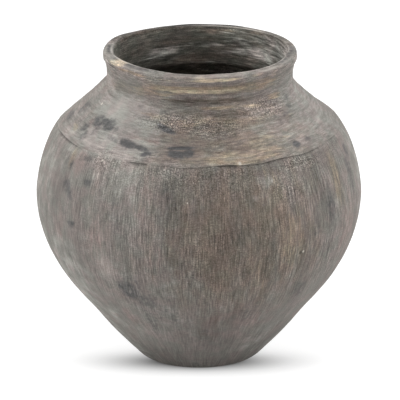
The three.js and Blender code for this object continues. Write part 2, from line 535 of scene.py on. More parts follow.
def slab_profile():
    """From the middle of the underside round the edge to the middle of the pot's floor."""
    edge = float(outside_at(0))
    above_round = (float(outside_at(FOOT_ROUND / 2)), FOOT_ROUND / 2)
    rounded = bezier((edge - FOOT_ROUND, 0), (edge, 0), above_round, steps=ROUND_STEPS)
    under = levels(0, edge - FOOT_ROUND, UNDERSIDE_STEP)
    bottom = profile_points(under[:-1], 0, 0, 0, 0)
    turned_up = smoothstep(rounded[:, 1], 0, FOOT_ROUND / 2)
    corner = profile_points(rounded[:, 0], rounded[:, 1], turned_up, 0, 0)
    side = wall_face(outside_at, levels(FOOT_ROUND / 2, slab_top, SLAB_STEP)[1:], 0)
    floor_edge = [inside_at(np.array(slab_top))]
    floor_radius = np.concatenate([floor_edge, levels(FLOOR_RADIUS, 0, FLOOR_STEP)])
    floor_free = smoothstep(-floor_radius, -FLOOR_RADIUS, -UNEVEN_RADIUS)
    floor = profile_points(floor_radius, slab_top, 0, floor_free, 1)
    return np.concatenate([bottom, corner, side, floor])


def store(mesh, name, values):
    layer = mesh.attributes.new(name, "FLOAT", "POINT")
    layer.data.foreach_set("value", values.astype(np.float32))


def profile_mesh(name, points, closed):
    """The profile as a mesh of edges whose points carry the fields that the tree reads."""
    mesh = bpy.data.meshes.new(name)
    count = len(points)
    edges = [(i, (i + 1) % count) for i in range(count if closed else count - 1)]
    mesh.from_pydata([(r * MM, 0, z * MM) for r, z in points[:, :2]], edges, [])
    for field, values in zip(POINT_FIELDS, points.T):
        store(mesh, field, values)
    return mesh


# Turn and spread of the places where the lip was drawn in or dips, and where the clay of the
# fold and the seam was pressed.
FRONT = (0, 110)
FRONT_LEFT = (-47, 32)
FAR_LEFT = (-147, 28)
FOLD = (-70, 42)
FOLD_CREST = (-44, 50)
SMEAR = (-43, 30)

# How far the fold, the filled crease and the wandering of the seam reach up and down.
FOLD_REACH = 2.4
CREASE_REACH = 9.0
WANDER_REACH = 14.0

# The sizes that the turning tree takes as inputs.
TURNING_SIZES = {
    "Belly Radius": BELLY_RADIUS,
    "Oval": 0.8,
    "Three Lobes": 0.5,
    "Neck Offset": 1.2,
    "Shoulder Offset": -0.9,
    "Foot Offset": 0.8,
    "Bore Offset": 1.0,
    "Rim Wave": 0.8,
    "Rim High Point": 145.0,
    "Far Rim Dip": 1.3,
    "Front Drawn In": 1.6,
    "Left Drawn In": 1.4,
    "Front Edge Rise": 0.5,
    "Left Edge Rise": 0.9,
    "Belly Height": belly_height,
    "Seam Height": seam_height,
    "Neck Height": neck_height,
    "Collar Top": collar_top,
    "Lip Rise": LIP_RISE,
    "Seam Wander": 1.3,
    "Seam Depth": 0.9,
    "Fold Rise": 7.0,
    "Fold Depth": 0.8,
    "Crease Fill": 0.9,
    "Pared": 0.0,
}


def turning_tree():
    """Builds the tree: a profile is carried round a circle, and each point is put in place."""
    group = bpy.data.node_groups.new("turned_clay", "GeometryNodeTree")

    def add_socket(name, kind, way="INPUT"):
        return group.interface.new_socket(name, in_out=way, socket_type="NodeSocket" + kind)

    add_socket("Geometry", "Geometry", "OUTPUT")
    add_socket("Geometry", "Geometry")
    add_socket("Segments", "Int").default_value = WIPED_SEGMENTS
    for name, size in TURNING_SIZES.items():
        add_socket(name, "Float").default_value = size
    add_socket("Clay", "Material")

    tree = Tree(group)
    inputs = group.nodes.new("NodeGroupInput")
    given = {socket.name: Value(tree, socket) for socket in inputs.outputs if socket.name}

    def field(name):
        return tree.node("GeometryNodeInputNamedAttribute", {"data_type": "FLOAT"}, {"Name": name})

    # Carry the profile round a circle whose points know their angle.
    circle = tree.node("GeometryNodeCurvePrimitiveCircle", None, {"Resolution": given["Segments"]})
    on_circle = tree.node("GeometryNodeInputPosition")
    turned = tree.math("ARCTAN2", tree.axis(on_circle, "Y"), tree.axis(on_circle, "X"))
    angles = {"Geometry": circle, "Name": "angle", "Value": turned}
    path = tree.node("GeometryNodeStoreNamedAttribute", {"data_type": "FLOAT"}, angles)
    profile = tree.node("GeometryNodeMeshToCurve", None, {"Mesh": given["Geometry"]})
    swept = tree.node("GeometryNodeCurveToMesh", None, {"Curve": path, "Profile Curve": profile})

    # Put each point where the hand-shaped pot has it.
    angle = field("angle")
    radius = field("off_axis")
    height = field("height")
    inside = field("inside")
    below_belly = tree.smooth(height, BELLY_RISE / 3, given["Belly Height"], 1.0, 0.0)
    up_shoulder = tree.smooth(height, given["Seam Height"], given["Seam Height"] + SHOULDER_OFFSET_FADE)
    up_neck = tree.smooth(height, given["Neck Height"] - NECK_OFFSET_FADE, given["Neck Height"])
    thicker = tree.smooth(height, given["Seam Height"], given["Neck Height"])
    lip_share = (height - given["Collar Top"]) / given["Lip Rise"]
    up_lip = tree.math("MINIMUM", tree.math("MAXIMUM", lip_share, 0.0), 1.0)
    oval = tree.math("SINE", angle * 2.0) * given["Oval"]
    lobes = tree.math("SINE", angle * 3.0) * given["Three Lobes"]
    cosine = tree.math("COSINE", angle)
    sine = tree.math("SINE", angle)
    around = tree.xyz(cosine, sine)
    front = tree.lobe(around, *FRONT)
    front_left = tree.lobe(around, *FRONT_LEFT)
    edges = (LIP_BORE_RADIUS + INNER_EDGE[0], LIP_RADIUS - TOP_EDGE[0])
    toward_bore = tree.smooth(radius, *edges, 1.0, 0.0) * up_lip
    drawn_in = (front * given["Front Drawn In"] + front_left * given["Left Drawn In"]) * toward_bore
    raised = (front * given["Front Edge Rise"] + front_left * given["Left Edge Rise"]) * toward_bore
    round_radius = radius + (oval + lobes) * radius / given["Belly Radius"] - drawn_in
    set_off = given["Shoulder Offset"] * up_shoulder * (1 - up_neck) + given["Neck Offset"] * up_neck
    aside = given["Foot Offset"] * below_belly + set_off + given["Bore Offset"] * inside * thicker
    from_high = angle - given["Rim High Point"] * (math.pi / 180)
    third = tree.math("COSINE", from_high * 3.0) * 0.5
    wave = (tree.math("COSINE", from_high) + third) * given["Rim Wave"] * up_lip
    dip = tree.lobe(around, *FAR_LEFT) * given["Far Rim Dip"] * up_lip
    lifted = height + wave - dip + raised
    place = tree.xyz(round_radius * cosine + aside, round_radius * sine, lifted)

    def close_to(level, reach):
        """1 at a height, easing to 0 at the reach above and below it."""
        return tree.smooth(tree.math("ABSOLUTE", height - level), 0.0, reach, 1.0, 0.0)

    # Work the surface: strokes, lumps, and the grooves where sections meet.
    pared = given["Pared"] * (1 - inside)
    strokes = pared_relief(tree, place) * pared + wiped_relief(tree, place) * (1 - pared)
    relief = strokes + lumps(tree, place)
    fold_height = given["Collar Top"] + tree.lobe(place, *FOLD_CREST) * given["Fold Rise"]
    fold_share = tree.lobe(place, *FOLD) * (1 - inside)
    fold = close_to(fold_height, FOLD_REACH) * fold_share * given["Fold Depth"]
    filled = close_to(given["Collar Top"], CREASE_REACH) * (1 - inside) * (1 - fold_share)
    opened = field("seam_groove") * seam_opening(tree, place) * given["Seam Depth"]
    smeared = field("seam_groove") * tree.lobe(place, *SMEAR) * given["Pared"] * SEAM_LEDGE
    worked = relief - opened - fold + filled * given["Crease Fill"] + smeared
    near_seam = close_to(given["Seam Height"], WANDER_REACH)
    seam_course = tree.upright_marks(place, pitch=55, reach=400, seed=7, detail=0.0)
    wander = seam_course * given["Seam Wander"] * near_seam * (1 - inside)
    level_push = field("push_r") * worked
    push = tree.xyz(level_push * cosine, level_push * sine, field("push_z") * worked + wander)
    moved = tree.vector("ADD", place, push)
    in_metres = tree.vector("MULTIPLY", moved, (MM, MM, MM))
    shape = tree.node("GeometryNodeSetPosition", None, {"Geometry": swept, "Position": in_metres})
    near = {"Geometry": shape, "Distance": MERGE_DISTANCE * MM}
    closed = tree.node("GeometryNodeMergeByDistance", None, near)
    real = tree.node("GeometryNodeRealizeInstances", None, {"Geometry": closed})
    final = tree.node("GeometryNodeSetMaterial", None, {"Geometry": real, "Material": given["Clay"]})
    tree.feed(group.nodes.new("NodeGroupOutput"), "Geometry", final)
    return group


def put_in_scene(name, data):
    thing = bpy.data.objects.new(name, data)
    bpy.context.scene.collection.objects.link(thing)
    return thing


def turned_section(node, slot, points, closed, pared, group, clay):
    """Turns one section, makes it a plain mesh and lets it stand for its CAD node."""
    piece = put_in_scene(node + "_clay", profile_mesh(node + "_clay", points, closed))
    modifier = piece.modifiers.new("turned", "NODES")
    modifier.node_group = group
    sockets = {s.name: s.identifier for s in group.interface.items_tree if s.in_out == "INPUT"}
    modifier[sockets["Segments"]] = BODY_SEGMENTS if pared else WIPED_SEGMENTS
    modifier[sockets["Pared"]] = float(pared)
    modifier[sockets["Clay"]] = clay
    graph = bpy.context.evaluated_depsgraph_get()
    mesh = bpy.data.meshes.new_from_object(piece.evaluated_get(graph))
    piece.modifiers.clear()
    piece.data = mesh
    mesh.shade_smooth()
    mesh.set_sharp_from_angle(angle=math.radians(SHARP_ANGLE))
    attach(piece, "root")
    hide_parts(node)
    return piece


# Dabs, placed one by one: turn and height of the middle, width and height of the patch, strength,
# and tilt in degrees where there is one. A dab touches the outside and the inside alike.
Dab = namedtuple("Dab", "turn height width tall strength tilt", defaults=(0,))

# A dab is full up to its core and gone at its edge, in halves of its width and height.
DAB_CORE = 0.4
DAB_EDGE = 1.6

DABS = {}

# Soot: the smudges on shoulder and flanks, and the darkened rim, with a painted shadow under the
# seam on the right.
DABS["smoke_and_shade"] = [
    (-57.5, 304.5, 23, 12, 0.9), (-52.5, 306, 22, 8, 1.05), (-49, 305, 27, 12.5, 0.9),
    (-43.5, 303.5, 14, 10, 0.65), (-55, 297.5, 12, 11, 0.75), (-43, 295.5, 28, 5, 0.75, -8),
    (-33, 294, 27, 8, 1.25, -9), (-25.5, 292, 27, 5, 1.2, -8), (-22.5, 288, 14, 4.5, 1.3, 12),
    (-8, 295.3, 34, 3.2, 1.6, 2), (-9.5, 289.5, 24, 7.5, 1.3, -5), (-4.5, 290.5, 16, 8, 1.2, 10),
    (-17, 311, 26, 5.5, 1.4, -16), (-59, 289, 13, 11, 0.85), (-63, 295.5, 14, 12, 0.85),
    (-70, 296, 9, 9, 0.6), (-76, 307, 11, 9, 0.6), (-80, 306, 16, 14, 0.8), (-86, 292, 34, 12, 0.8),
    (-79, 322, 18, 8, 0.4), (-36, 327, 12, 7, 0.55), (-18, 348, 10, 4, 0.7), (14, 305, 16, 5, 0.5, -8),
    (46.5, 287.3, 12, 6.5, 1.4), (55, 288, 13, 5, 0.75), (44, 315, 10, 5, 0.6), (64, 326, 14, 7, 0.6),
    (61, 319, 12, 6, 0.6), (53, 314, 16, 5, 0.5, 20), (-44, 249, 16, 11, 0.95), (-55, 238, 19, 18, 0.95),
    (-52, 230, 13, 16, 0.85), (-49.8, 198, 14, 11, 1.05), (-54, 209, 14, 9, 0.7), (-56, 261, 9, 14, 0.85),
    (-48, 272.5, 15, 8, 0.7), (-27, 129, 34, 26, 1, -35), (-27, 140, 40, 30, 0.5),
    (-21, 117, 28, 26, 0.8, -30), (-13, 96, 26, 50, 0.5, 24), (-22, 84, 18, 70, 0.55, 8),
    (-4, 60, 40, 60, 0.35), (54, 212, 18, 44, 0.75), (72, 240, 18, 60, 0.65), (75.5, 261, 16, 18, 0.85),
    (46, 255, 20, 18, 0.5), (45, 192, 16, 50, 0.5), (31, 168, 8, 8, 0.6), (43, 119, 24, 30, 0.65, 30),
    (-30, 218, 30, 50, 0.45), (22, 98, 34, 38, 0.45), (-16, 118, 44, 24, 0.45), (-12, 250, 30, 30, 0.5),
    (-11, 237, 36, 40, 0.42), (62, 250, 24, 40, 0.5), (-68, 368.6, 24, 4, 0.7), (-91, 369, 46, 4, 0.85),
    (-113, 369.4, 34, 4, 0.5), (-42, 368.9, 60, 2.4, 0.8), (66, 367.4, 30, 4, 1), (86, 367.8, 46, 4, 0.9),
    (52, 272, 40, 6, 0.5), (178, 370.2, 240, 5, 1), (150, 296, 40, 14, 0.9, 8),
    (168, 288, 26, 8, 0.9, -6), (-150, 300, 30, 12, 0.8), (-128, 285, 24, 9, 0.7, 10),
    (110, 310, 22, 8, 0.6), (125, 240, 18, 40, 0.6), (170, 180, 24, 60, 0.6, 4), (-140, 220, 26, 40, 0.6),
    (-155, 120, 34, 40, 0.8, 10), (145, 100, 28, 50, 0.7, -8), (-110, 170, 20, 60, 0.5),
]

# Brown earth, broad over the middle of the belly and shoulder, front and back. On the front of the
# belly it is partly painted shade.
DABS["earth_and_shade"] = [
    (10, 303, 190, 66, 0.75), (8, 345, 150, 40, 0.1), (16, 200, 190, 190, 0.95), (60, 240, 20, 60, 0.9),
    (-58, 340, 40, 20, 0.5), (-176, 328, 44, 9, 1), (165, 200, 170, 180, 0.7), (175, 300, 150, 44, 0.7),
    (166, 361, 40, 6, 0.8), (135, 366, 30, 6, 0.8),
]

# Clay that fired redder.
DABS["blush"] = [
    (-38, 192, 24, 66, 0.6), (-57, 190, 18, 44, 0.55), (-33, 118, 22, 50, 0.45), (-33, 88, 18, 40, 0.55),
    (-20, 250, 24, 60, 0.6), (-15, 178, 30, 40, 0.5), (-52, 268, 20, 34, 0.6), (-62, 302, 12, 18, 0.7),
    (-38, 306, 34, 10, 0.7), (-55, 322, 36, 18, 0.6), (-25, 299, 44, 8, 0.6), (66, 175, 40, 90, 0.6),
    (120, 180, 30, 80, 0.7), (-120, 200, 34, 70, 0.7), (-165, 90, 30, 60, 0.6), (140, 300, 40, 16, 0.6),
    (72, 268, 30, 24, 0.6), (54, 299, 36, 16, 0.6), (36, 365, 24, 5, 0.9), (0, 367.5, 90, 3, 0.6),
    (0, 348, 150, 34, 0.4), (14, 84, 90, 64, 0.6),
]

# Grey ash: the left of the shoulder, both flanks and the inside of the neck. On the flanks and
# inside the neck it is partly painted light.
DABS["ash_and_light"] = [
    (-46, 317, 100, 36, 1.3), (-28, 308, 60, 22, 0.7), (-42, 290, 120, 24, 1.1), (40, 299, 104, 40, 0.4),
    (12, 287, 130, 14, 0.6), (-75, 363, 40, 8, 0.7), (178, 346, 60, 7, 0.5), (24, 243, 42, 16, 0.4),
    (-58, 120, 70, 130, 0.7), (-60, 30, 60, 60, 0.8), (-46, 84, 60, 60, 0.45), (-44, 246, 30, 60, 0.3),
    (-26, 258, 44, 50, 0.5), (28, 265, 44, 26, 0.5), (60, 325, 60, 30, 0.5), (-11, 148, 30, 50, 0.4),
    (-152, 339, 54, 13, 0.85, -8), (175, 324.5, 120, 4, 0.5), (131, 342, 50, 14, 1.1),
    (151, 352, 44, 12, 0.5, -8), (156, 362, 40, 8, 0.45), (36, 46, 40, 50, 0.5), (62, 24, 50, 40, 0.7),
    (-72, 270, 90, 140, 0.4), (-78, 160, 70, 180, 0.5), (78, 315, 110, 80, 0.7), (86, 200, 60, 240, 0.55),
    (-32, 262, 70, 36, 0.4), (92, 368, 120, 10, 0.5), (104, 350, 130, 60, 0.65), (-150, 250, 70, 50, 0.7),
    (130, 270, 60, 40, 0.7), (-122, 306, 90, 26, 0.8), (178, 140, 50, 60, 0.5), (160, 310, 120, 16, 0.6),
    (148, 341, 60, 9, 0.8, -10), (-155, 340, 40, 5, 0.65, 14), (-163, 330, 30, 5, 0.5, -20),
]

# Yellow-brown streaks.
DABS["ochre"] = [
    (12, 331, 60, 4, 0.9), (2, 352, 140, 10, 1.2), (-70.5, 292, 24, 7, 0.75, -15),
    (-56.5, 267, 12, 26, 0.75), (163, 363.5, 32, 4, 0.7), (-30, 345, 70, 14, 0.7),
    (36, 352, 70, 16, 0.85), (-31, 355, 22, 9, 0.7), (18, 286, 150, 13, 0.8), (53, 333, 30, 8, 0.8),
    (175, 286, 130, 11, 0.9), (160, 180, 20, 70, 0.5), (-135, 130, 24, 60, 0.5), (50, 363, 16, 4, 0.8),
    (45, 355, 46, 16, 0.5), (30, 294, 70, 26, 0.6, -6), (6, 318, 120, 10, 0.6), (-28, 322, 50, 8, 0.6),
    (18, 150, 60, 120, 0.25), (60, 243, 22, 60, 0.7), (34, 190, 40, 80, 0.5), (11, 245, 20, 40, 0.4),
    (-45, 364, 50, 5, 0.9),
]

# Cream where the lip, the collar and the shoulder's edge are rubbed, and in part painted highlight
# on the lip's bead and painted light on the collar.
DABS["cream_and_highlight"] = [
    (10, 364.3, 56, 4.5, 1.3), (2, 350.5, 90, 6, 1), (-2, 366, 60, 4, 0.6), (-22, 362.5, 40, 5, 0.6),
    (-60, 367.8, 30, 4, 1.5), (36, 365, 22, 4, 0.7), (36, 327, 40, 5, 0.6, -10), (15.5, 280, 11, 3, 0.9),
    (26, 264, 44, 24, 0.42), (24, 243, 42, 16, 0.4), (53, 331, 12, 4, 0.6),
]

# Dark brown, most of it in the creases of the neck and in the mouth, where it is partly painted
# shade.
DABS["umber_and_shade"] = [
    (18, 345, 66, 6, 0.5), (4, 332, 120, 5, 0.3), (-77, 361, 26, 1.6, 1), (-64, 362.4, 30, 1.6, 1.1),
    (-49, 363.4, 34, 1.4, 0.8), (8, 338, 120, 9, 0.95), (20, 322, 60, 10, 0.7), (2, 262, 40, 50, 0.4),
    (50, 246, 24, 50, 0.45), (5, 78, 60, 60, 0.5), (5, 359.5, 80, 3, 0.35), (-4, 326, 80, 8, 0.45),
    (14, 272, 130, 12, 0.5), (-10, 248, 42, 46, 0.5), (30, 262, 50, 30, 0.4), (172, 272, 110, 10, 0.5),
    (-135, 190, 50, 100, 0.4), (120, 130, 60, 80, 0.4), (-160, 312, 90, 8, 0.5), (44, 272, 60, 8, 0.5),
    (2, 200, 60, 120, 0.4), (0, 130, 90, 90, 0.3), (-140, 369, 150, 9, 1.1), (112, 369, 80, 8, 0.8),
    (178, 369.6, 160, 3, 1.2), (-20, 369, 60, 2.2, 0.6), (178, 332, 70, 9, 0.9), (-170, 352, 90, 12, 0.7),
    (160, 333, 60, 8, 0.6), (-120, 345, 60, 30, 0.55), (178, 341, 90, 8, 0.5), (-26, 238, 20, 26, 0.35),
]

# Places that are lighter, whatever their colour, partly as painted light on the right of the
# inside of the neck.
DABS["pale"] = [
    (-49, 318, 24, 22, 0.8), (-44, 302, 18, 24, 0.8), (-72, 338, 40, 20, 1.2), (-36, 335, 22, 7, 0.7),
    (-22, 283, 44, 14, 0.8), (-38, 277, 26, 14, 0.6), (128, 352, 40, 14, 0.6), (149, 354, 46, 20, 0.55),
    (131, 342, 44, 14, 1.4), (-9, 282, 70, 6, 0.5), (-28, 300, 40, 6, 0.5, -10),
    (135, 334, 34, 10, 1.2, -10), (-32, 250, 50, 40, 0.35), (-35, 152, 24, 34, 0.9),
    (32, 305, 56, 40, 1.2), (46, 295, 64, 36, 1.1), (2, 350.5, 110, 8, 0.3), (14, 298, 34, 14, 0.5),
    (19, 288, 36, 13, 0.7), (-57, 280, 30, 16, 1), (-131, 341, 24, 10, 0.5), (29, 367.5, 30, 5, 0.8),
    (-24, 368, 40, 4, 0.5), (-84, 325, 30, 16, 0.9), (72, 312, 60, 40, 0.25), (-23, 232, 20, 80, 0.3),
    (30, 243, 24, 40, 0.3), (-36, 55, 26, 50, 0.4), (57, 291, 40, 30, 0.8), (-30, 262, 34, 24, 0.25),
    (-27, 280, 34, 16, 1), (-20, 46, 40, 30, 0.35), (-70, 283, 34, 16, 0.9), (-20, 303, 40, 26, 0.35),
    (-26, 52, 50, 40, 0.8), (-154, 339, 36, 9, 0.5), (-143, 331, 20, 8, 0.6), (142, 340, 40, 8, 0.5),
    (20, 337, 60, 14, 0.6), (-28, 72, 50, 50, 0.2), (-17, 112, 36, 30, 0.3), (155, 362, 48, 11, 1.1),
    (163, 342, 24, 6, 0.7), (-155, 319, 26, 8, 0.9), (110, 365.5, 18, 7, 0.6), (123.6, 346, 20, 9, 1.5),
    (153.5, 308.5, 30, 8, 0.8), (168, 367.6, 16, 5, 0.7), (-104, 368.5, 24, 5, 0.9),
]

# Places that are darker, whatever their colour, partly as painted shade on the far rim, in the
# mouth and under the seam.
DABS["dark"] = [
    (184, 369.6, 120, 5, 1.3), (-176, 364, 50, 10, 0.25), (178, 331, 110, 14, 0.35),
    (-118, 352, 50, 30, 0.2), (78, 368.6, 36, 5, 0.35), (113, 358, 24, 16, 0.35), (-28, 320, 22, 12, 0.3),
    (-28, 345, 16, 8, 0.25), (12, 317, 44, 18, 0.3), (-6, 337, 34, 14, 0.3), (-2, 245, 60, 50, 0.1),
    (-60, 232, 30, 60, 0.15), (10, 76, 110, 64, 0.2), (16, 90, 34, 40, 0.3), (20, 350, 60, 16, 0.2),
    (33, 347, 34, 16, 0.2), (-143, 357, 34, 10, 0.2), (2, 326, 34, 12, 0.2), (-48, 212, 30, 40, 0.15),
    (-22, 163, 24, 30, 0.15), (48, 240, 26, 80, 0.22), (11, 200, 30, 40, 0.35), (-24, 206, 24, 30, 0.15),
    (60, 274, 90, 5, 0.2), (-100, 369.3, 60, 3, 0.15), (107.7, 359, 16, 7, 0.25), (58, 364.7, 20, 6, 0.3),
    (-116, 342, 18, 8, 0.3),
]

# Places where the strokes give way to soft clouds.
DABS["soft"] = [
    (-86, 180, 150, 300, 1), (90, 180, 120, 300, 1), (84, 305, 90, 70, 0.75), (-50, 170, 40, 120, 0.5),
    (-55, 60, 60, 120, 1), (60, 60, 50, 120, 1), (0, 36, 220, 80, 0.75), (-62, 240, 90, 120, 0.9),
    (-40, 90, 60, 70, 0.7), (44, 90, 60, 80, 0.6), (-48, 346, 60, 20, 0.6),
]

# Places that are speckled and dusty.
DABS["specks"] = [
    (-85, 368.5, 170, 12, 0.55), (75, 368.5, 120, 12, 0.5), (-40, 364, 60, 8, 0.4), (-14, 317, 80, 16, 1),
    (8, 313, 70, 16, 0.9), (-38, 275, 44, 20, 0.6), (-28, 258, 80, 44, 0.3), (178, 369, 250, 12, 0.5),
    (40, 324, 60, 18, 0.9), (165, 312, 80, 14, 0.9), (-140, 262, 90, 30, 0.7), (140, 258, 90, 30, 0.6),
    (175, 200, 160, 120, 0.4), (42, 270, 56, 16, 1), (33, 250, 50, 40, 0.7), (4, 262, 190, 40, 0.5),
    (-14, 270, 70, 10, 0.6), (-58, 268, 30, 14, 0.4), (4, 200, 170, 140, 0.35),
]


def paint(mesh):
    """Stores on the mesh how strongly each point is touched by each layer's dabs."""
    place = np.empty(len(mesh.vertices) * 3, np.float32)
    mesh.vertices.foreach_get("co", place)
    x, y, z = place.reshape(-1, 3).T / MM
    turn = np.degrees(np.arctan2(x, -y))
    radius = np.hypot(x, y)
    for name, dabs in DABS.items():
        touched = np.zeros(len(turn))
        for dab in [Dab(*row) for row in dabs]:
            apart = (turn - dab.turn + 180) % 360 - 180
            across = np.radians(apart) * radius
            above = z - dab.height
            lean = math.radians(dab.tilt)
            along = across * math.cos(lean) + above * math.sin(lean)
            over = above * math.cos(lean) - across * math.sin(lean)
            reach = np.hypot(along * 2 / dab.width, over * 2 / dab.tall)
            touched = np.maximum(touched, dab.strength * smoothstep(-reach, -DAB_EDGE, -DAB_CORE))
        store(mesh, name, touched)


def srgb(red, green, blue):
    """A colour as its 0 to 255 display values, for a shader."""
    shares = [c / 255 for c in (red, green, blue)]
    linear = [s / 12.92 if s <= 0.04045 else ((s + 0.055) / 1.055) ** 2.4 for s in shares]
    return (*linear, 1.0)


STONE = srgb(135, 130, 126)
EARTH_AND_SHADE = srgb(120, 110, 101)
BLUSH = srgb(143, 128, 124)
ASH_AND_LIGHT = srgb(160, 156, 152)
OCHRE = srgb(162, 147, 129)
CREAM_AND_HIGHLIGHT = srgb(196, 184, 163)
UMBER_AND_SHADE = srgb(86, 79, 72)
SMOKE_AND_SHADE = srgb(86, 86, 87)
LIME = srgb(218, 212, 202)
# The smoked inside's colour, which also paints the shade deep in the mouth.
SMOKED_INSIDE_AND_SHADE = srgb(88, 86, 80)

# Tints that the colours are multiplied by, where the clay fired greener and redder.
MOSSY = (0.962, 1.0, 0.968, 1.0)
ROSY = (1.038, 0.984, 0.975, 1.0)

# Depths between which the clay is frayed under its upper seam, and the mouth darkens as painted
# shade.
FRAY_DEPTHS = (30, 3)
MOUTH_DEPTHS = (30, 10)

# Pitch and reach of each kind of mark, where the clay was pared upright and wiped level.
PARED_MARKS = {
    "patches": (15, 48), "wash": (5, 36), "comb": (1.3, 14), "hatch": (2.5, 28), "bands": (28, 110)
}
WIPED_MARKS = {
    "patches": (8, 30), "wash": (3.2, 26), "comb": (1.1, 9), "hatch": (1.9, 20), "bands": (12, 120)
}

# How much the strokes and the stipple show on pared and on wiped clay.
PARED_GRAIN = (0.53, 0.31)
WIPED_GRAIN = (0.46, 0.44)

# Single pits, darkened as painted shade, and pale grits, the first of them a painted highlight on
# a pit's rim: turn, height and size.
PITS = [(38, 171.5, 3), (12.5, 262, 2.2), (-8, 236, 2), (150, 205, 3), (-140, 160, 2.6)]
GRITS_AND_HIGHLIGHT = [
    (39.4, 172, 2), (-40.5, 275.3, 1.6), (16.5, 280.5, 2.4), (-66, 318, 1.8), (-4, 243, 1.2),
    (120, 290, 2), (-165, 225, 2),
]


def new_material(name):
    """A material with its tree and its shader."""
    material = bpy.data.materials.new(name)
    material.use_nodes = True
    return material, Tree(material.node_tree), material.node_tree.nodes["Principled BSDF"]


